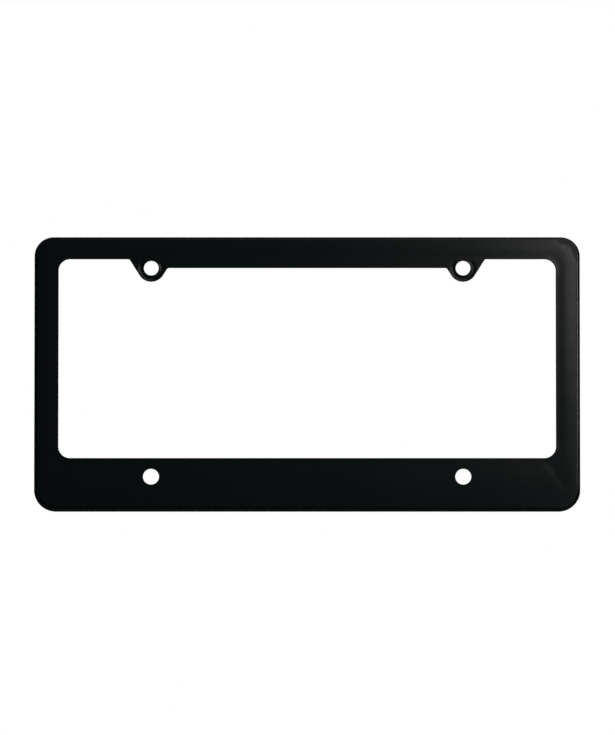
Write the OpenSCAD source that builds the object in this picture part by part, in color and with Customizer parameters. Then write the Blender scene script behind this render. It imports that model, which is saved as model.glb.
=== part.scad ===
/* [Overall size] */
// Width of the frame over its side walls at the back rim
frame_w = 311.2; // [308:0.2:330]
// Height of the frame over its top and bottom walls at the back rim
frame_h = 159; // [157:0.2:175]
// Depth from the back rim to the crest of the crowned face
depth = 5.7; // [5:0.1:9]
// Thickness of the pressed sheet
sheet_t = 1; // [0.6:0.1:1.2]
// Outer corner radius at the two top corners
corner_top_r = 11; // [10:0.5:14]
// Outer corner radius at the two bottom corners
corner_bottom_r = 12.5; // [10:0.5:14]

/* [Bars] */
// Width of the left and right bars
side_bar_w = 13.9; // [13:0.1:18]
// Width of the top bar outboard of the ears
top_bar_w = 13.7; // [13:0.1:15.4]
// Width of the top bar between the ears
top_bar_mid_w = 18.8; // [17.5:0.1:22]
// Corner radius of the window
window_r = 6.6; // [3:0.1:12]

/* [Side wall and shoulder] */
// How far the side wall ends below the crest, where the shoulder begins
shoulder_drop = 1.1; // [0.8:0.1:1.6]
// How far the side wall leans in over its height
wall_lean = 1.1; // [0.4:0.1:1.4]
// Radius of the shoulder between side wall and face
shoulder_r = 6.5; // [6:0.5:9]
// Slope of the shoulder where it leaves the side wall, in degrees
shoulder_slope = 48; // [40:1:50]

/* [Crowned face] */
// How far the face falls from the crest to the outer edge
outer_fall = 0.4; // [0.35:0.05:0.8]
// How far the flat land at the window lies below the crest
land_fall = 0.15; // [0.1:0.05:0.5]
// Width of the flat land along the window
land_w = 1.9; // [1:0.1:3]
// Place of the crest across a bar, as a share of its width from outside
crest_share = 0.55; // [0.5:0.01:0.6]

/* [Screw holes and ears] */
// Distance between the two holes of a pair
hole_pitch_w = 177.8; // [170:0.1:186]
// Distance between the top pair and the bottom pair
hole_pitch_h = 120.65; // [118:0.05:122]
// Distance from the top edge of the frame to the top hole centres
hole_from_top = 18.9; // [18:0.1:20]
// Height of the bottom bar above its hole centres
bar_over_hole = 10.75; // [8:0.05:16]
// Diameter of the two top holes, in the ears
top_hole_d = 8.4; // [6.5:0.1:8.8]
// Diameter of the two bottom holes
bottom_hole_d = 9.1; // [6.5:0.1:11]
// Radius of the rounded tip of an ear
ear_r = 7.85; // [7.6:0.05:9.5]
// Angle of an ear's flanks to the bar, in degrees
ear_flank = 58; // [50:1:70]
// Radius where an ear's flank runs into the bar
ear_root_r = 1.5; // [0.5:0.1:3]
// Depth of the groove pressed round an ear's hole
groove_deep = 0.45; // [0.2:0.05:0.6]
// Radius of the groove's section
groove_r = 1.8; // [1.4:0.1:2]

/* [Hidden] */
$fn = 96;

// Height of the solids that are cut down to the face
tall = depth + 4;
// Length of the strips that run past the frame on both sides
span = frame_w + frame_h;
// Depth by which a cutter passes the surface that it cuts
past = 1;
// A flank meets the round tip this far inside its radius
tuck = 0.02;
// Share of a slope by which its arc tops out past the crest
over_share = 0.12;
// Facets of the wide arcs across the bars
arc_fn = 360;

wall_h = depth - shoulder_drop;
wall_tan = wall_lean / wall_h;
wall_inset = sheet_t * sqrt(1 + wall_tan * wall_tan);
shoulder_in = wall_lean + shoulder_r * sin(shoulder_slope);
shoulder_up = wall_h - shoulder_r * cos(shoulder_slope);
land_up = depth - land_fall;
corner_max_r = max(corner_top_r, corner_bottom_r);

hole_x = hole_pitch_w / 2;
top_hole_y = frame_h / 2 - hole_from_top;
bottom_hole_y = top_hole_y - hole_pitch_h;
bottom_bar_w = bottom_hole_y + frame_h / 2 + bar_over_hole;

window_half_w = frame_w / 2 - side_bar_w;
window_top = frame_h / 2 - top_bar_w;
window_top_mid = frame_h / 2 - top_bar_mid_w;
window_bottom = bottom_bar_w - frame_h / 2;

groove_mid_r = (top_hole_d / 2 + ear_r) / 2;
groove_up = land_up + groove_r - groove_deep;

// Radius of an arc that falls by fall between run_a and run_b from its top
function arc_r(run_a, run_b, fall) =
    let (q = arc_q(run_a, run_b, fall)) sqrt(q * q + run_b * run_b);
function arc_q(run_a, run_b, fall) =
    (run_b * run_b - run_a * run_a - fall * fall) / (2 * fall);

// A section given as distance inward and height, run along one side
module along_side(turn, reach) {
    rotate([0, 0, turn])
        translate([reach, span / 2, 0])
            mirror([1, 0, 0])
                rotate([90, 0, 0])
                    linear_extrude(span) children();
}

// Section of a bar's outer slope: an arc from the outer edge to the crest
module outer_slope(bar_w) {
    crest = bar_w * crest_share;
    over = crest * over_share;
    top_at = crest + over;
    radius = arc_r(over, top_at, outer_fall);
    up = depth - outer_fall - arc_q(over, top_at, outer_fall);
    intersection() {
        translate([-past, -past]) square([span, tall + past]);
        union() {
            translate([top_at, up]) circle(radius, $fn = arc_fn);
            translate([top_at, -past]) square([span, tall + past]);
        }
    }
}

// Section of a bar's inner slope: an arc from the crest to the land
module inner_slope(bar_w) {
    crest = bar_w * crest_share;
    run = bar_w - crest - land_w;
    over = run * over_share;
    top_at = crest - over;
    radius = arc_r(over, run + over, land_fall);
    up = land_up - arc_q(over, run + over, land_fall);
    intersection() {
        translate([-past, -past]) square([top_at + radius + past, tall + past]);
        union() {
            translate([top_at, up]) circle(radius, $fn = arc_fn);
            translate([-2 * past, -past]) square([top_at + 2 * past, tall + past]);
        }
    }
}

// The four bars' outer slopes cut one another along the mitres
module outer_slopes() {
    intersection() {
        along_side(0, frame_w / 2) outer_slope(side_bar_w);
        along_side(180, frame_w / 2) outer_slope(side_bar_w);
        along_side(90, frame_h / 2) outer_slope(top_bar_w);
        along_side(-90, frame_h / 2) outer_slope(bottom_bar_w);
    }
}

// The four bars' inner slopes join along the mitres
module inner_slopes() {
    along_side(0, frame_w / 2) inner_slope(side_bar_w);
    along_side(180, frame_w / 2) inner_slope(side_bar_w);
    along_side(90, frame_h / 2) inner_slope(top_bar_w);
    along_side(-90, frame_h / 2) inner_slope(bottom_bar_w);
}

// Flat land round the window, under the ears and between them
module land() {
    half_w = frame_w / 2 - side_bar_w * crest_share;
    low = bottom_bar_w * crest_share - frame_h / 2;
    high = frame_h / 2 - top_bar_w * crest_share;
    translate([-half_w, low, -past]) cube([2 * half_w, high - low, land_up + past]);
}

// Crowned face as a solid that reaches down past the back rim
module crown() {
    intersection() {
        outer_slopes();
        inner_slopes();
    }
    land();
}

// Section of side wall and shoulder, from a corner's centre outward
module rim_section(corner_r, inset, low) {
    reach = corner_r - inset * wall_inset;
    turn_r = shoulder_r - inset * sheet_t;
    intersection() {
        polygon([
            [0, low], [reach - wall_tan * low, low],
            [reach - wall_tan * tall, tall], [0, tall]
        ]);
        union() {
            translate([corner_r - shoulder_in, shoulder_up]) circle(turn_r);
            translate([0, low]) square([corner_r - shoulder_in, tall - low]);
        }
    }
}

module rim_corner(turn, x, y, corner_r, inset, low) {
    translate([x, y, 0])
        rotate([0, 0, turn])
            rotate_extrude(angle = 90) rim_section(corner_r, inset, low);
}

// A straight side between two corners, from start to end along its run
module rim_side(turn, reach, start, end, corner_r, inset, low) {
    rotate([0, 0, turn])
        translate([reach - corner_r, end, 0])
            rotate([90, 0, 0])
                linear_extrude(end - start) rim_section(corner_r, inset, low);
}

// Rounded block with leaning walls and round shoulders
module rim_block(inset, low) {
    top_x = frame_w / 2 - corner_top_r;
    top_y = frame_h / 2 - corner_top_r;
    bottom_x = frame_w / 2 - corner_bottom_r;
    bottom_y = frame_h / 2 - corner_bottom_r;
    core_x = frame_w / 2 - corner_max_r;
    rim_corner(0, top_x, top_y, corner_top_r, inset, low);
    rim_corner(90, -top_x, top_y, corner_top_r, inset, low);
    rim_corner(180, -bottom_x, -bottom_y, corner_bottom_r, inset, low);
    rim_corner(270, bottom_x, -bottom_y, corner_bottom_r, inset, low);
    rim_side(0, frame_w / 2, -bottom_y, top_y, corner_max_r, inset, low);
    rim_side(180, frame_w / 2, -top_y, bottom_y, corner_max_r, inset, low);
    rim_side(90, frame_h / 2, -top_x, top_x, corner_top_r, inset, low);
    rim_side(-90, frame_h / 2, -bottom_x, bottom_x, corner_bottom_r, inset, low);
    translate([-core_x, -bottom_y, low]) cube([2 * core_x, top_y + bottom_y, tall - low]);
}

// Outline of one ear with its round tip, flanks and roots
module ear_outline() {
    flank_x = (ear_r - tuck) * sin(ear_flank);
    flank_y = (ear_r - tuck) * cos(ear_flank);
    thin_up = window_top - top_hole_y;
    mid_up = window_top_mid - top_hole_y;
    thin_x = flank_x + (thin_up + flank_y) / tan(ear_flank);
    mid_x = flank_x + (mid_up + flank_y) / tan(ear_flank);
    circle(ear_r);
    polygon([
        [flank_x, -flank_y], [thin_x, thin_up], [thin_x, thin_up + past],
        [-mid_x, thin_up + past], [-mid_x, mid_up], [-flank_x, -flank_y]
    ]);
    translate([thin_x, thin_up]) ear_root();
    translate([-mid_x, mid_up]) mirror([1, 0]) ear_root();
}

// Round fill in the corner between an ear's flank and the bar
module ear_root() {
    half = (180 - ear_flank) / 2;
    run = ear_root_r / tan(half);
    difference() {
        polygon([
            [-run * cos(ear_flank), -run * sin(ear_flank)],
            [-past / 2, past / 2], [run, past / 2], [run, 0]
        ]);
        translate([run, -ear_root_r]) circle(ear_root_r + tuck);
    }
}

// Outline of the window, with the ears and the wider middle left in place
module window_outline() {
    wide = window_half_w - window_r;
    low = window_bottom + window_r;
    high = window_top - window_r;
    difference() {
        union() {
            for (x = [-wide, wide], y = [low, high]) translate([x, y]) circle(window_r);
            translate([-window_half_w, low]) square([2 * window_half_w, high - low]);
            translate([-wide, window_bottom]) square([2 * wide, window_top - window_bottom]);
        }
        translate([-hole_x, window_top_mid])
            square([hole_pitch_w, top_bar_mid_w - top_bar_w + past]);
        translate([hole_x, top_hole_y]) ear_outline();
        translate([-hole_x, top_hole_y]) mirror([1, 0]) ear_outline();
    }
}

// Ring round an ear's hole, below the height cap
module ear_ring(radius, cap) {
    rotate_extrude()
        translate([groove_mid_r, groove_up])
            intersection() {
                circle(radius);
                translate([-radius, -2 * radius])
                    square([2 * radius, 2 * radius + cap - groove_up]);
            }
}

module screw_hole(x, y, hole_d) {
    translate([x, y, -past]) cylinder(h = tall, d = hole_d);
}

// Sheet of the walls and the face, before the window is cut
module pressed_sheet() {
    difference() {
        intersection() {
            rim_block(0, 0);
            crown();
        }
        intersection() {
            rim_block(1, -past);
            translate([0, 0, -sheet_t]) crown();
        }
    }
}

module plate_frame() {
    color([0.035, 0.04, 0.04])
        rotate([90, 0, 0])
            translate([0, 0, -depth / 2])
                difference() {
                    union() {
                        pressed_sheet();
                        for (x = [-hole_x, hole_x])
                            translate([x, top_hole_y, 0])
                                ear_ring(groove_r + sheet_t, land_up - sheet_t / 2);
                    }
                    translate([0, 0, -past]) linear_extrude(tall) window_outline();
                    for (x = [-hole_x, hole_x]) {
                        translate([x, top_hole_y, 0]) ear_ring(groove_r, groove_up);
                        screw_hole(x, top_hole_y, top_hole_d);
                        screw_hole(x, bottom_hole_y, bottom_hole_d);
                    }
                }
}

plate_frame();
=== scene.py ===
import bpy, math
import numpy as np
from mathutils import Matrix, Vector
from mathutils.geometry import delaunay_2d_cdt


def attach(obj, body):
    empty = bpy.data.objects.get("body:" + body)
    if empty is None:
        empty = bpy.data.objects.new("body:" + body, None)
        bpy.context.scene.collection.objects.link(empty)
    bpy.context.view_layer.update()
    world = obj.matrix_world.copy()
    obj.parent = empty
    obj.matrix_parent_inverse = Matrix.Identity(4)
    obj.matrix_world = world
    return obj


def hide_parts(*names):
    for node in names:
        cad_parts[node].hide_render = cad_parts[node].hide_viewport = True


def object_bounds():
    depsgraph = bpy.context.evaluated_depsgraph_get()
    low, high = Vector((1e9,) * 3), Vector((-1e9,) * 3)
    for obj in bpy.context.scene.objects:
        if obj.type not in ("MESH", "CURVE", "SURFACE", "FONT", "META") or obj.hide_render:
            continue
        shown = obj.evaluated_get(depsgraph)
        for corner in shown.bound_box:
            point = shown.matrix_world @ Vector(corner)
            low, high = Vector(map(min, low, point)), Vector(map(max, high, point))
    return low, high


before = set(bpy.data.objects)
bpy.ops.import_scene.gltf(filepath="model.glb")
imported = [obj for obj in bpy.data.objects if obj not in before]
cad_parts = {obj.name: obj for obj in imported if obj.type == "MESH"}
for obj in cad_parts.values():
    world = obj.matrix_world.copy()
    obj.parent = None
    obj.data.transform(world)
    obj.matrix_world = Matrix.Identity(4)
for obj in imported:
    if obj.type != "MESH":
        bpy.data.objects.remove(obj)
cadLow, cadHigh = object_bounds()
mm = 0.001

# The pressed frame, in mm: x runs across, z runs up, and a height counts forward from the back rim
plate = {
    "width": 311.2, "high": 159.0, "depth": 5.7, "sheet": 1.0,
    "cornerTop": 11.0, "cornerBottom": 12.5,
    "sideBar": 13.9, "topBar": 13.7, "topBarMiddle": 18.8, "bottomBar": 30.2,
    "windowCorner": 6.6,
    "wallHeight": 4.6, "wallLean": 1.1, "shoulderRadius": 6.5, "shoulderSlope": 48.0,
    "shoulderRise": 0.05,   # how fast the shoulder climbs clear of the face past its arc
    "outerFall": 0.4, "landFall": 0.15, "landWidth": 1.9, "crestShare": 0.55,
    "overShare": 0.12,      # a slope's arc tops out this share past the crest
    "overRise": 0.02,       # and climbs gently from there
    "holePitchWide": 177.8, "holePitchHigh": 120.65, "holeFromTop": 18.9,
    "topHole": 8.4, "bottomHole": 9.1,
    "earRadius": 7.85, "earFlank": 58.0, "earRoot": 1.5,
    "grooveDeep": 0.45, "grooveRadius": 1.8, "grooveSoft": 0.26,
    "grooveTop": 5.0,       # the ear's groove has faded out this far above the hole's centre
    "edgeRound": 0.34,      # rounding of the punched edges, on the face
    "rearRound": 0.1,       # and on the back
    "edgeTurns": (22.5, 45, 67.5, 90), "rearTurns": (90, 135),      # rows of both, in degrees
    "mitreSoft": 0.3,       # how softly the bars run into each other
    "crestSoft": 0.03, "landSoft": 0.1, "shoulderSoft": 0.10,
    "curveFromX": 105, "curveFromZ": 20, "curveBlend": 8,   # where the top corners' turning crest begins
    "cornerReach": 5, "cornerBlend": 8,                     # how far a corner's marks reach along the bars
    "cornerSoft": 1.85,     # the shoulder is drawn wider in the corners
    "cornerFall": 0.8,      # and the crown is drawn down further there
    "lowerShare": 0.3,      # how much of those two the lower corners have
    "lipRise": 0.14, "lipWide": 4.2,    # the window's corners lift a little towards the edge
    # shallow mitre valley in both lower corners, as insets from the side and the lower edge
    "mitreFrom": (19.5, 28.3), "mitreTo": (7.0, 10.5),
    "mitreDeep": 0.085, "mitreNear": 3.9, "mitreFar": 7.0, "mitreEdge": 0.3,
    "mitreLead": (0.5, 4), "mitreFade": (1.1, 3),   # its start and end, in its own lengths, and the rates
    "faceDrop": 0.018,      # keeps the lifted window corners inside the CAD part
    "bendRound": 0.55,      # rounding where the side wall turns into the shoulder
    "rimRound": 0.22,       # and at the outside of the back rim
    "bendSteps": (0.25, 0.5, 0.75), "rimInner": 0.1, "rimBevel": (0.07, 0.06),
    "waveHeight": 0.005,    # unevenness that the press leaves in the face
    "waveTurns": (0.21, 0.13, 0.17, 0.39, 0.05), "waveBend": 1.3, "waveStart": 0.9,
    # distances between mesh points
    "gridStep": 1.15, "cornerStep": 0.9, "windowStep": 0.6,
    "rootStep": 0.35, "flankStep": 1.0, "earStep": 0.5, "holeStep": 0.55,
    "gridOff": 0.6, "gridOffRows": 0.5,             # how many steps the grid stays off the edges and rows
    "ringStart": 0.7, "ringReach": 2.2, "ringStep": 0.45, "ringArc": 0.6,   # rings round the upper holes
    "ringGap": 2.4, "ringClear": 2.3,               # how far off the grid and the window's rows stay
    "ringOffWindow": 0.3, "ringOffHole": 0.2,
    "faceInset": 4.2,                               # the flat part of the mesh begins here
    "rimRows": (0.8, 1.2, 1.6, 2.0, 2.45, 3.0),     # extra rows of points along the window
    "backRows": (3.5, 3.0, 2.6, 2.3),               # insets of the rows behind the shoulder
    "innerWallRows": (3.2, 0.12),                   # heights of the rows inside the wall
    "shoulderRows": (2.0, 2.4, 2.8, 3.2, 3.7),      # insets of the rows on the shoulder
}


def softMin(a, b, soft):
    h = np.clip(0.5 + 0.5 * (b - a) / soft, 0, 1)
    return b * (1 - h) + a * h - soft * h * (1 - h)


def softMax(a, b, soft):
    return -softMin(-a, -b, soft)


def smoothStep(t):
    t = np.clip(t, 0, 1)
    return t * t * (3 - 2 * t)


def slopeArc(run, fall, over):
    # an arc that falls by fall over run and tops out over past the crest:
    # its radius, and how far its centre lies below the low end
    far = run + over
    below = (far * far - over * over - fall * fall) / (2 * fall)
    return math.hypot(below, far), below


def outerSlope(inward, bar):
    crest = bar * plate["crestShare"]
    over = crest * plate["overShare"]
    radius, below = slopeArc(crest, plate["outerFall"], over)
    base = plate["depth"] - plate["outerFall"] - below
    run = np.minimum(inward, crest + over) - (crest + over)
    arc = base + np.sqrt(np.maximum(radius * radius - run * run, 0))
    return arc + plate["overRise"] * np.maximum(inward - crest - over, 0)


def innerSlope(inward, bar):
    crest = bar * plate["crestShare"]
    run = bar - crest - plate["landWidth"]
    over = run * plate["overShare"]
    radius, below = slopeArc(run, plate["landFall"], over)
    base = plate["depth"] - plate["landFall"] - below
    past = np.maximum(inward, crest - over) - (crest - over)
    arc = base + np.sqrt(np.maximum(radius * radius - past * past, 0))
    return arc + plate["overRise"] * np.maximum(crest - over - inward, 0)


def outlineBox(x, z):
    # how far a point lies past the start of the outline's corner, across and up, and the corner's radius
    corner = np.where(z > 0, plate["cornerTop"], plate["cornerBottom"])
    px = np.abs(x) - (plate["width"] / 2 - corner)
    pz = np.abs(z) - (plate["high"] / 2 - corner)
    return px, pz, corner


def windowBox(x, z):
    # the same for the window
    low, high = plate["bottomBar"] - plate["high"] / 2, plate["high"] / 2 - plate["topBar"]
    px = np.abs(x) - (plate["width"] / 2 - plate["sideBar"] - plate["windowCorner"])
    pz = np.abs(z - (low + high) / 2) - ((high - low) / 2 - plate["windowCorner"])
    return px, pz


def outlineInset(x, z):
    # distance inside the rounded outline
    px, pz, corner = outlineBox(x, z)
    outside = np.hypot(np.maximum(px, 0), np.maximum(pz, 0))
    return corner - outside - np.minimum(np.maximum(px, pz), 0)


def windowAway(x, z):
    # distance outside the window's rounded rectangle
    px, pz = windowBox(x, z)
    outside = np.hypot(np.maximum(px, 0), np.maximum(pz, 0))
    return outside + np.minimum(np.maximum(px, pz), 0) - plate["windowCorner"]


def turnShare(px, pz):
    # 1 in a corner, 0 along the straight sides
    reach, blend = plate["cornerReach"], plate["cornerBlend"]
    return smoothStep((px + reach) / blend) * smoothStep((pz + reach) / blend)


def cornerShare(x, z):
    px, pz = outlineBox(x, z)[:2]
    return turnShare(px, pz) * np.where(z > 0, 1, plate["lowerShare"])


def shoulderHeight(inset, radius):
    turn = math.radians(plate["shoulderSlope"])
    across = plate["wallLean"] + plate["shoulderRadius"] * math.sin(turn)
    base = plate["wallHeight"] - plate["shoulderRadius"] * math.cos(turn)
    run = np.minimum(inset, across) - across
    past = np.maximum(inset - across, 0)
    return base + np.sqrt(np.maximum(radius * radius - run * run, 0)) + plate["shoulderRise"] * past * past


def mitreValley(x, z):
    # depth of the valley where a side bar's face meets the lower bar's
    (ax, az), (bx, bz) = plate["mitreFrom"], plate["mitreTo"]
    length = math.hypot(bx - ax, bz - az)
    ux, uz = (bx - ax) / length, (bz - az) / length
    px, pz = plate["width"] / 2 - np.abs(x) - ax, plate["high"] / 2 + z - az
    along = (px * ux + pz * uz) / length
    off = px * uz - pz * ux                      # positive on the side bar
    near = np.clip(1 + off / plate["mitreNear"], 0, 1)
    far = np.clip(1 - off / plate["mitreFar"], 0, 1)
    valley = np.maximum(softMin(near * near, far * far, plate["mitreEdge"]), 0)
    # it starts inside the window and fades before the outline
    lead, fade = plate["mitreLead"], plate["mitreFade"]
    begun = smoothStep((along + lead[0]) * lead[1])
    left = smoothStep((fade[0] - along) * fade[1])
    return plate["mitreDeep"] * valley * begun * left


def waveAt(x, z):
    # runs between -2 and 2
    a, b, c, d, e = plate["waveTurns"]           # radians per mm
    crossed = np.sin(x * a + plate["waveBend"] * np.sin(z * b)) * np.sin(z * c + plate["waveStart"])
    return crossed + np.sin(z * d + x * e)


holeX = plate["holePitchWide"] / 2
topHoleZ = plate["high"] / 2 - plate["holeFromTop"]
bottomHoleZ = topHoleZ - plate["holePitchHigh"]
grooveMiddle = (plate["topHole"] / 2 + plate["earRadius"]) / 2
landHeight = plate["depth"] - plate["landFall"]


def crownHeight(x, z):
    halfW, halfH = plate["width"] / 2, plate["high"] / 2
    bars = ((halfW - x, plate["sideBar"]), (halfW + x, plate["sideBar"]),
            (halfH - z, plate["topBar"]), (halfH + z, plate["bottomBar"]))
    soft = plate["mitreSoft"]
    outer = inner = None
    for inward, bar in bars:
        a, b = outerSlope(inward, bar), innerSlope(inward, bar)
        outer = a if outer is None else softMin(outer, a, soft)
        inner = b if inner is None else softMax(inner, b, soft)
    # at the two top corners the crest turns along a curve instead of a mitre
    bar, blend = plate["sideBar"], plate["curveBlend"]
    upper = np.clip((z - plate["curveFromZ"]) / blend, 0, 1)
    upper = upper * np.clip((np.abs(x) - plate["curveFromX"]) / blend, 0, 1)
    outer = outer + (outerSlope(outlineInset(x, z), bar) - outer) * upper
    inner = inner + (innerSlope(bar - windowAway(x, z), bar) - inner) * upper
    return softMin(outer, softMax(inner, landHeight, plate["landSoft"]), plate["crestSoft"])


def pressGrooves(face, x, z):
    # a ring groove round each upper hole
    radius = plate["grooveRadius"]
    for side in (-1, 1):
        r = np.hypot(x - side * holeX, z - topHoleZ)
        run = np.clip(r - grooveMiddle, -radius, radius)
        up = landHeight + radius - plate["grooveDeep"]
        groove = up - np.sqrt(np.maximum(radius ** 2 - run * run, 0))
        far = np.abs(r - grooveMiddle) > radius      # there the face stays as it is
        dished = softMin(face, np.where(far, face + 1, groove), plate["grooveSoft"])
        fade = smoothStep((plate["grooveTop"] + topHoleZ - z) / plate["grooveTop"])
        face = face + (dished - face) * fade
    return face


def faceHeight(x, z):
    face = crownHeight(x, z)
    lip = np.clip(1 - windowAway(x, z) / plate["lipWide"], 0, 1)
    face = face + plate["lipRise"] * lip * lip * turnShare(*windowBox(x, z))
    rise = np.clip(1 - outlineInset(x, z) / (plate["sideBar"] * plate["crestShare"]), 0, 1)
    face = face - plate["cornerFall"] * rise * rise * cornerShare(x, z)
    face = pressGrooves(face, x, z)
    # less 2, so that the wave only ever lowers the face
    return face + plate["waveHeight"] * (waveAt(x, z) - 2) - plate["faceDrop"] - mitreValley(x, z)


def shoulderSoftness(x, z):
    return plate["shoulderSoft"] + plate["cornerSoft"] * cornerShare(x, z)


def frontHeight(x, z):
    shoulder = shoulderHeight(outlineInset(x, z), plate["shoulderRadius"])
    return softMin(faceHeight(x, z), shoulder, shoulderSoftness(x, z))


def backHeight(x, z):
    shoulder = shoulderHeight(outlineInset(x, z), plate["shoulderRadius"] - plate["sheet"])
    return softMin(faceHeight(x, z) - plate["sheet"], shoulder, shoulderSoftness(x, z))


def slopeNormals(heightOf, xz, sign):
    # normals of a height field, as x, z and forward
    e = 0.02        # mm to each side over which the slope is taken
    x, z = xz[:, 0], xz[:, 1]
    dx = (heightOf(x + e, z) - heightOf(x - e, z)) / (2 * e)
    dz = (heightOf(x, z + e) - heightOf(x, z - e)) / (2 * e)
    n = np.stack((-dx, -dz, np.ones_like(dx)), 1) * sign
    return n / np.linalg.norm(n, axis=1, keepdims=True)


class SheetMesh:
    # rows of points are bridged in the order in which the surface is walked
    def __init__(self):
        self.points, self.normals, self.faces = [], [], []

    def addRow(self, xz, height, normals):
        start = len(self.points)
        for (x, z), h, n in zip(xz, height, normals):
            self.points.append((x * mm, (plate["depth"] / 2 - h) * mm, z * mm))
            self.normals.append((n[0], -n[2], n[1]))
        return np.arange(start, start + len(xz))

    def addSurface(self, xz, heightOf, sign):
        return self.addRow(xz, heightOf(xz[:, 0], xz[:, 1]), slopeNormals(heightOf, xz, sign))

    def bridge(self, rows):
        for first, second in zip(rows, rows[1:]):
            n = len(first)
            for k in range(n):
                j = (k + 1) % n
                self.faces.append((first[k], first[j], second[j], second[k]))

    def toObject(self, name):
        mesh = bpy.data.meshes.new(name)
        mesh.from_pydata(self.points, [], [tuple(int(i) for i in f) for f in self.faces])
        mesh.polygons.foreach_set("use_smooth", [True] * len(mesh.polygons))
        mesh.validate()
        n = np.array(self.normals)
        n /= np.linalg.norm(n, axis=1, keepdims=True)
        mesh.normals_split_custom_set_from_vertices([tuple(v) for v in n])
        obj = bpy.data.objects.new(name, mesh)
        bpy.context.scene.collection.objects.link(obj)
        return obj


def lineOf(start, end, facing, step):
    n = max(1, round(math.dist(start, end) / step))
    t = np.arange(n) / n
    p = np.outer(1 - t, start) + np.outer(t, end)
    return p, np.tile(facing, (n, 1))


def arcPath(centre, radius, fromDeg, toDeg, facing, step):
    n = max(3, round(abs(math.radians(toDeg - fromDeg)) * radius / step))
    a = np.radians(fromDeg + (toDeg - fromDeg) * np.arange(n) / n)
    d = np.stack((np.cos(a), np.sin(a)), 1)
    return np.array(centre) + radius * d, facing * d


def outlinePath():
    # counter-clockwise from the front, with each point's outward direction
    parts = []
    halfW, halfH = plate["width"] / 2, plate["high"] / 2
    rb, rt = plate["cornerBottom"], plate["cornerTop"]
    corners = ((halfW - rb, -halfH + rb, rb, -90), (halfW - rt, halfH - rt, rt, 0),
               (-halfW + rt, halfH - rt, rt, 90), (-halfW + rb, -halfH + rb, rb, 180))
    for i, (cx, cz, r, deg) in enumerate(corners):
        parts.append(arcPath((cx, cz), r, deg, deg + 90, 1, plate["cornerStep"]))
        nx, nz, nr = corners[(i + 1) % 4][:3]
        out = (round(math.cos(math.radians(deg + 90))), round(math.sin(math.radians(deg + 90))))
        start = (cx + r * out[0], cz + r * out[1])
        end = (nx + nr * out[0], nz + nr * out[1])
        parts.append(lineOf(start, end, out, plate["gridStep"]))
    return np.vstack([p for p, d in parts]), np.vstack([d for p, d in parts])


def windowPath():
    # counter-clockwise, with each point's direction into the window
    wx = plate["width"] / 2 - plate["sideBar"]
    low = plate["bottomBar"] - plate["high"] / 2
    high = plate["high"] / 2 - plate["topBar"]
    middle = plate["high"] / 2 - plate["topBarMiddle"]
    r, root, ear = plate["windowCorner"], plate["earRoot"], plate["earRadius"]
    flank = math.radians(plate["earFlank"])
    tipX, tipZ = ear * math.sin(flank), ear * math.cos(flank)
    thinX = tipX + (high - topHoleZ + tipZ) / math.tan(flank)
    midX = tipX + (middle - topHoleZ + tipZ) / math.tan(flank)
    run = root / math.tan((math.pi - flank) / 2)
    turn = 90 - plate["earFlank"]
    outFlank, inFlank = (math.sin(flank), -math.cos(flank)), (-math.sin(flank), -math.cos(flank))
    ax, az = run * math.cos(flank), run * math.sin(flank)
    grid, bend = plate["gridStep"], plate["windowStep"]
    rootStep, flankStep = plate["rootStep"], plate["flankStep"]
    parts = [
        lineOf((0, low), (wx - r, low), (0, 1), grid),
        arcPath((wx - r, low + r), r, -90, 0, -1, bend),
        lineOf((wx, low + r), (wx, high - r), (-1, 0), grid),
        arcPath((wx - r, high - r), r, 0, 90, -1, bend),
        lineOf((wx - r, high), (holeX + thinX + run, high), (0, -1), grid),
        arcPath((holeX + thinX + run, high - root), root, 90, 180 - turn, -1, rootStep),
        lineOf((holeX + thinX - ax, high - az), (holeX + tipX, topHoleZ - tipZ), outFlank, flankStep),
        arcPath((holeX, topHoleZ), ear, -turn, -180 + turn, 1, plate["earStep"]),
        lineOf((holeX - tipX, topHoleZ - tipZ), (holeX - midX + ax, middle - az), inFlank, flankStep),
        arcPath((holeX - midX - run, middle - root), root, turn, 90, -1, rootStep),
        lineOf((holeX - midX - run, middle), (0, middle), (0, -1), grid),
    ]
    p = np.vstack([a for a, b in parts] + [[(0, middle)]])
    d = np.vstack([b for a, b in parts] + [[(0, -1)]])
    flip = np.array((-1, 1))
    return np.vstack((p, (p * flip)[::-1][1:-1])), np.vstack((d, (d * flip)[::-1][1:-1]))


def insideOf(points, loop):
    x, z = points[:, 0][:, None], points[:, 1][:, None]
    x0, z0 = loop[:, 0], loop[:, 1]
    x1, z1 = np.roll(x0, -1), np.roll(z0, -1)
    crosses = (z0 > z) != (z1 > z)
    with np.errstate(divide="ignore", invalid="ignore"):
        at = x0 + (z - z0) * (x1 - x0) / (z1 - z0)
    return (np.sum(crosses & (x < at), axis=1) % 2) == 1


def nearestTo(points, loop):
    near = np.full(len(points), 1e9)
    # in parts of about 60 points, so that the tables of distances stay small
    for part in np.array_split(loop, max(1, len(loop) // 60)):
        gaps = np.hypot(points[:, :1] - part[:, 0], points[:, 1:] - part[:, 1])
        near = np.minimum(near, gaps.min(1))
    return near


def clearOf(points, openings, windowGap, holeGap):
    # the points that keep their distance from the window, the first opening, and from the holes
    ok = np.full(len(points), True)
    for i, loop in enumerate(openings):
        ok &= ~insideOf(points, loop) & (nearestTo(points, loop) > (holeGap if i else windowGap))
    return points[ok]


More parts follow.
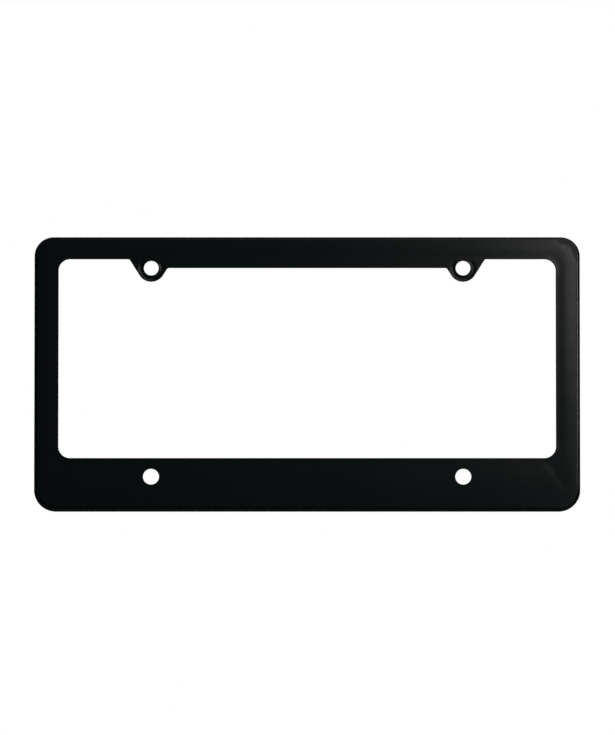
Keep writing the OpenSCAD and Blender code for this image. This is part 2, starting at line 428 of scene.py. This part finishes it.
def facePoints(window, intoWindow, openings):
    # a staggered grid on the face, with finer rows along the window and round the upper holes
    step, ear = plate["gridStep"], plate["earRadius"]
    rowStep = step * math.sqrt(3) / 2
    nx, nz = int(plate["width"] / step) + 2, int(plate["high"] / rowStep) + 2
    ix, iz = np.meshgrid(np.arange(nx), np.arange(nz))
    across, up = (ix + 0.5 * (iz % 2) - nx / 2) * step, (iz - nz / 2) * rowStep
    grid = np.stack((across, up), -1).reshape(-1, 2)
    off = plate["gridOff"] * step
    grid = grid[outlineInset(grid[:, 0], grid[:, 1]) > plate["faceInset"] + off]
    rings = []
    for x in (-holeX, holeX):
        first = plate["topHole"] / 2 + plate["ringStart"]
        for radius in np.arange(first, ear + plate["ringReach"], plate["ringStep"]):
            rings.append(arcPath((x, topHoleZ), radius, 0, 360, 1, plate["ringArc"])[0])
        grid = grid[np.hypot(grid[:, 0] - x, grid[:, 1] - topHoleZ) > ear + plate["ringGap"]]
    for away in plate["rimRows"]:
        row = window - intoWindow * away
        nearEar = np.hypot(np.abs(row[:, 0]) - holeX, row[:, 1] - topHoleZ) < ear + plate["ringClear"]
        rings.append(row[~nearEar])
    grid = clearOf(grid, openings, plate["rimRows"][-1] + plate["gridOffRows"] * step, off)
    rings = clearOf(np.vstack(rings), openings, plate["ringOffWindow"], plate["ringOffHole"])
    return np.vstack((grid, rings))


def triangulate(loops, inner):
    # the flat mesh between the outer loop and the openings, and each loop's place in it
    edges, starts, at = [], [], 0
    for loop in loops:
        n = len(loop)
        starts.append(at)
        edges += [(at + k, at + (k + 1) % n) for k in range(n)]
        at += n
    made = delaunay_2d_cdt([Vector(p) for p in np.vstack(loops + [inner])], edges, [], 0, 1e-6)
    flat = np.array([tuple(v) for v in made[0]])
    tris = np.array([f for f in made[2] if len(f) == 3])
    middle = flat[tris].mean(1)
    ok = outlineInset(middle[:, 0], middle[:, 1]) > plate["faceInset"] - 0.001
    for loop in loops[1:]:
        ok &= ~insideOf(middle, loop)
    tris = tris[ok]
    a, b, c = flat[tris[:, 0]], flat[tris[:, 1]], flat[tris[:, 2]]
    area = (b[:, 0] - a[:, 0]) * (c[:, 1] - a[:, 1]) - (b[:, 1] - a[:, 1]) * (c[:, 0] - a[:, 0])
    tris[area < 0] = tris[area < 0][:, ::-1]
    newOf = {old: new for new, olds in enumerate(made[3]) for old in olds}
    ids = [np.array([newOf[start + k] for k in range(len(loop))]) for start, loop in zip(starts, loops)]
    return flat, tris, ids


def addEdge(sheet, path, into, frontRow, backRow):
    # the rounded, punched edge of the sheet, from the face to the back
    r, rear = plate["edgeRound"], plate["rearRound"]
    front = slopeNormals(frontHeight, path, 1)
    side = np.column_stack((into, np.zeros(len(into))))
    rows = [frontRow]
    for deg in plate["edgeTurns"]:
        a = math.radians(deg)
        xz = path - into * (r * (1 - math.sin(a)))
        h = frontHeight(xz[:, 0], xz[:, 1]) - r * (1 - math.cos(a))
        rows.append(sheet.addRow(xz, h, front * math.cos(a) + side * math.sin(a)))
    for deg in plate["rearTurns"]:
        a = math.radians(deg)
        xz = path - into * (rear * (1 - math.sin(a)))
        h = backHeight(xz[:, 0], xz[:, 1]) + rear * (1 + math.cos(a))
        rows.append(sheet.addRow(xz, h, front * math.cos(a) + side * math.sin(a)))
    sheet.bridge(rows + [backRow])


def addWall(sheet, outline, outward, backRow, frontRow):
    # inner wall, back rim, side wall and shoulder
    out3 = np.column_stack((outward, np.zeros(len(outward))))
    forward = np.array((0, 0, 1))
    wall, shoulderIn = plate["wallHeight"], plate["wallLean"]
    lean = math.atan(shoulderIn / wall)
    tan = math.tan(lean)
    thick = plate["sheet"] / math.cos(lean)
    rimRound = plate["rimRound"]
    rows = [backRow]

    def level(inset, up, normals):
        rows.append(sheet.addRow(outline - outward * inset, np.full(len(outline), up), normals))

    for inset in plate["backRows"]:
        rows.append(sheet.addSurface(outline - outward * inset, backHeight, -1))
    for h in plate["innerWallRows"]:
        level(thick + tan * h, h, out3 * -math.cos(lean) + forward * -math.sin(lean))
    down = np.tile((0.0, 0.0, -1.0), (len(outline), 1))
    for inset in (thick - plate["rimInner"], rimRound):
        level(inset, 0.0, down)
    level(*plate["rimBevel"], down * 0.7 + out3 * 0.7)      # facing out and back at 45 degrees
    bend = plate["bendRound"]
    for h in (rimRound, wall - bend):
        level(tan * h, h, out3 * math.cos(lean) + forward * math.sin(lean))
    startIn, endIn = tan * (wall - bend), shoulderIn + bend
    endXz = outline - outward * endIn
    endUp = frontHeight(endXz[:, 0], endXz[:, 1])
    cornerUp = np.full(len(outline), wall)
    for t in plate["bendSteps"]:
        # a quadratic bend from the wall to the shoulder
        inset = (1 - t) ** 2 * startIn + 2 * t * (1 - t) * shoulderIn + t * t * endIn
        up = (1 - t) ** 2 * (wall - bend) + 2 * t * (1 - t) * cornerUp + t * t * endUp
        dIn = 2 * (1 - t) * (shoulderIn - startIn) + 2 * t * (endIn - shoulderIn)
        dUp = 2 * (1 - t) * bend + 2 * t * (endUp - cornerUp)
        rows.append(sheet.addRow(outline - outward * inset, up, out3 * dUp[:, None] + forward * dIn))
    rows.append(sheet.addSurface(endXz, frontHeight, 1))
    for inset in plate["shoulderRows"]:
        rows.append(sheet.addSurface(outline - outward * inset, frontHeight, 1))
    sheet.bridge(rows + [frontRow])


def buildFrame():
    sheet = SheetMesh()
    outline, outward = outlinePath()
    window, intoWindow = windowPath()
    holes = []
    for x in (-holeX, holeX):
        for z, d in ((topHoleZ, plate["topHole"]), (bottomHoleZ, plate["bottomHole"])):
            holes.append(arcPath((x, z), d / 2, 0, 360, -1, plate["holeStep"]))
    openings = [(window, intoWindow)] + holes
    loops = [outline - outward * plate["faceInset"]]
    loops += [p - d * plate["edgeRound"] for p, d in openings]
    flat, tris, ids = triangulate(loops, facePoints(window, intoWindow, loops[1:]))
    front = sheet.addSurface(flat, frontHeight, 1)
    back = sheet.addSurface(flat, backHeight, -1)
    sheet.faces += [tuple(front[t]) for t in tris]
    sheet.faces += [tuple(back[t[::-1]]) for t in tris]
    for (path, into), own in zip(openings, ids[1:]):
        addEdge(sheet, path, into, front[own], back[own])
    addWall(sheet, outline, outward, back[ids[0]], front[ids[0]])
    print("frame mesh:", len(sheet.points), "points,", len(sheet.faces), "faces")
    return sheet.toObject("pressed_frame")


class Sock:
    # wraps a node socket so that shader maths reads as Python
    def __init__(self, tree, out):
        self.tree, self.out = tree, out

    def math(self, op, other, swap=False):
        a, b = (other, self) if swap else (self, other)
        return self.tree.node("ShaderNodeMath", {"operation": op}, {0: a, 1: b})

    def __add__(self, o): return self.math("ADD", o)
    __radd__ = __add__
    def __mul__(self, o): return self.math("MULTIPLY", o)
    __rmul__ = __mul__
    def __sub__(self, o): return self.math("SUBTRACT", o)
    def __rsub__(self, o): return self.math("SUBTRACT", o, True)
    def max(self, o): return self.math("MAXIMUM", o)
    def min(self, o): return self.math("MINIMUM", o)


class Tree:
    def __init__(self, owner):
        owner.use_nodes = True
        self.nodes, self.links = owner.node_tree.nodes, owner.node_tree.links
        self.nodes.clear()

    def node(self, kind, settings=None, sockets=None, out=0):
        n = self.nodes.new(kind)
        for key, value in (settings or {}).items():
            setattr(n, key, value)
        for key, value in (sockets or {}).items():
            if isinstance(value, Sock):
                self.links.new(value.out, n.inputs[key])
            else:
                n.inputs[key].default_value = value
        return Sock(self, n.outputs[out]) if len(n.outputs) else n

    def mixColour(self, factor, a, b):
        # 6, 7 and 2 are the node's colour sockets
        return self.node("ShaderNodeMix", {"data_type": "RGBA"}, {0: factor, 6: a, 7: b}, out=2)

    def ray(self, kind):
        return self.node("ShaderNodeLightPath", out=kind)

    def noise(self, place, **sockets):
        return self.node("ShaderNodeTexNoise", {}, {"Vector": place, **sockets})


coat = {
    "colour": (0.0033, 0.0049, 0.0057, 1),      # black with a trace of green-blue
    "dusty": (0.0060, 0.0078, 0.0085, 1),
    "shine": 0.25,                              # specular level, 0.5 is a clear gloss coat
    "roughness": 0.25,
    "roughnessSpread": 0.03,
    "cloudScale": 14.0,                         # slow change of tone over the face
    "peelSize": 1.7,                            # orange peel of the sprayed coat, in mm
    "peelDepth": 0.0035,                        # in mm
    "peelStrength": 0.6,
    "speckSize": 0.25,                          # fine specks, in mm
    "speckFrom": 0.66, "speckSharp": 9,
    "speckTone": 0.3, "speckRough": 0.05, "cloudTone": 0.6,
    "cloudDetail": 3.0, "speckDetail": 2.0, "peelDetail": 1.5, "peelGrain": 0.4,    # of the noise
}


def blackCoat():
    mat = bpy.data.materials.new("blackCoat")
    tree = Tree(mat)
    place = tree.node("ShaderNodeTexCoord", out="Object")
    cloudy = tree.noise(place, Scale=coat["cloudScale"], Detail=coat["cloudDetail"])
    # a size is that of the noise's finest full octave, and its scale that of the coarsest
    fine = tree.noise(place, Scale=1000 / coat["speckSize"] / 4, Detail=coat["speckDetail"])
    peelScale = 1000 / coat["peelSize"] / 2
    peel = tree.noise(place, Scale=peelScale, Detail=coat["peelDetail"], Roughness=coat["peelGrain"])
    specks = ((fine - coat["speckFrom"]) * coat["speckSharp"]).max(0).min(1)
    rough = (coat["roughness"] + (cloudy - 0.5) * coat["roughnessSpread"] * 2
             + specks * coat["speckRough"])
    worn = specks * coat["speckTone"] + (cloudy - 0.5).max(0) * coat["cloudTone"]
    bump = tree.node("ShaderNodeBump", {}, {
        "Strength": coat["peelStrength"], "Distance": coat["peelDepth"] * mm, "Height": peel,
    })
    shader = tree.node("ShaderNodeBsdfPrincipled", {}, {
        "Base Color": tree.mixColour(worn, coat["colour"], coat["dusty"]),
        "Roughness": rough, "Normal": bump, "IOR": 1.5, "Specular IOR Level": coat["shine"],
    })
    tree.node("ShaderNodeOutputMaterial", {}, {"Surface": shader})
    return mat


print("building the frame")
holder = buildFrame()
holder.data.materials.append(blackCoat())
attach(holder, "root")
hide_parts("plate_frame")

studio = {
    "floorDrop": 1.25,                          # the frame hangs this far above the floor, in m
    "floorSize": 6.0, "floorSides": 64,
    "floorColour": (0.9, 0.9, 0.9, 1),
    "floorInCoat": (0.45, 0.45, 0.45, 1),       # the floor as the coat reflects it
    "floorGlow": (0.93, 0.93, 0.93, 1), "glowShare": 0.9,   # how much of what the camera sees is glow
    "lampColour": (1.0, 0.98, 0.93),
    # where each lamp stands and what it points at, in m, with its size in m and its power in W
    "lamps": {
        "key": ((0.215, -0.468, 0.174), (0, 0, 0), 0.16, 0.228),
        "fill": ((0.523, -0.420, 0.643), (0, 0, 0), 1.4, 5.28),
        "low": ((0.315, -0.273, -0.222), (0, 0, 0), 0.63, 0.396),
        "rim": ((0.75, 0.05, 0.14), (0.15, 0, 0), 0.12, 0.65),
    },
    "ambient": (0.072, 0.100, 0.110, 1),
    "roomEdge": 0.35, "roomFade": 1.6,          # the room's light comes from the camera's side
    "backdropEdge": 0.93, "backdropFade": 20,   # the white backdrop lies straight behind the frame
    "lens": 1000.0, "sensor": 36.0, "clip": (0.1, 30),
    "below": 10.0,                              # degrees by which the camera looks up
    "pixelsPerMm": 1.7545, "imageHigh": 735,
    "aim": (0.2, 3.42),                         # the view's middle off the frame's centre, in mm
}


def lampAt(name, place, target, size, power):
    data = bpy.data.lights.new(name, "AREA")
    data.shape, data.size, data.energy, data.color = "SQUARE", size, power, studio["lampColour"]
    lamp = bpy.data.objects.new(name, data)
    lamp.location = place
    lamp.rotation_euler = (Vector(target) - Vector(place)).to_track_quat("-Z", "Y").to_euler()
    bpy.context.scene.collection.objects.link(lamp)


def lightRoom(scene):
    world = bpy.data.worlds.new("studio")
    scene.world = world
    tree = Tree(world)
    direction = tree.node("ShaderNodeTexCoord", out="Generated")
    forward = tree.node("ShaderNodeSeparateXYZ", {}, {0: direction}, out=1)
    behind = ((forward - studio["backdropEdge"]) * studio["backdropFade"]).max(0).min(1)
    seen = tree.ray("Is Camera Ray") + tree.ray("Is Transmission Ray")
    shown = (seen + tree.ray("Is Glossy Ray") * behind).min(1)
    front = ((studio["roomEdge"] - forward) * studio["roomFade"]).max(0).min(1)
    dim = tree.mixColour(front, (0, 0, 0, 1), studio["ambient"])
    light = tree.mixColour(shown, dim, (1, 1, 1, 1))
    back = tree.node("ShaderNodeBackground", {}, {"Color": light, "Strength": 1.0})
    tree.node("ShaderNodeOutputWorld", {}, {"Surface": back})


def layFloor(scene):
    z = cadLow.z - studio["floorDrop"]
    size, sides = studio["floorSize"], studio["floorSides"]
    turns = np.linspace(0, 2 * math.pi, sides, endpoint=False)
    rim = [(size * math.cos(a), size * math.sin(a), z) for a in turns]
    mesh = bpy.data.meshes.new("floor")
    mesh.from_pydata(rim, [], [tuple(range(sides))])
    floor = bpy.data.objects.new("floor", mesh)
    scene.collection.objects.link(floor)
    mat = bpy.data.materials.new("paleFloor")
    tree = Tree(mat)
    tone = tree.mixColour(tree.ray("Is Glossy Ray"), studio["floorColour"], studio["floorInCoat"])
    pale = tree.node("ShaderNodeBsdfDiffuse", {}, {"Color": tone})
    glow = tree.node("ShaderNodeEmission", {}, {"Color": studio["floorGlow"], "Strength": 1.0})
    share = tree.ray("Is Camera Ray") * studio["glowShare"]
    both = tree.node("ShaderNodeMixShader", {}, {0: share, 1: pale, 2: glow})
    tree.node("ShaderNodeOutputMaterial", {}, {"Surface": both})
    mesh.materials.append(mat)


def setCamera(scene):
    cam = bpy.data.objects.new("camera", bpy.data.cameras.new("camera"))
    cam.data.lens, cam.data.sensor_width = studio["lens"], studio["sensor"]
    tilt = math.radians(studio["below"])
    shownHigh = studio["imageHigh"] / studio["pixelsPerMm"] * mm
    far = shownHigh * studio["lens"] / studio["sensor"]
    up = Vector((0, -math.sin(tilt), math.cos(tilt)))
    look = Vector((0, math.cos(tilt), math.sin(tilt)))
    cam.location = Vector((studio["aim"][0] * mm, 0, 0)) + up * studio["aim"][1] * mm - look * far
    cam.rotation_mode = "QUATERNION"
    cam.rotation_quaternion = look.to_track_quat("-Z", "Y")
    cam.data.clip_start, cam.data.clip_end = studio["clip"]
    scene.collection.objects.link(cam)
    scene.camera = cam
    print("studio ready, camera", round(far, 3), "m away")


scene = bpy.context.scene
scene.view_settings.view_transform = "Standard"
lightRoom(scene)
layFloor(scene)
for name, settings in studio["lamps"].items():
    lampAt(name, *settings)
setCamera(scene)
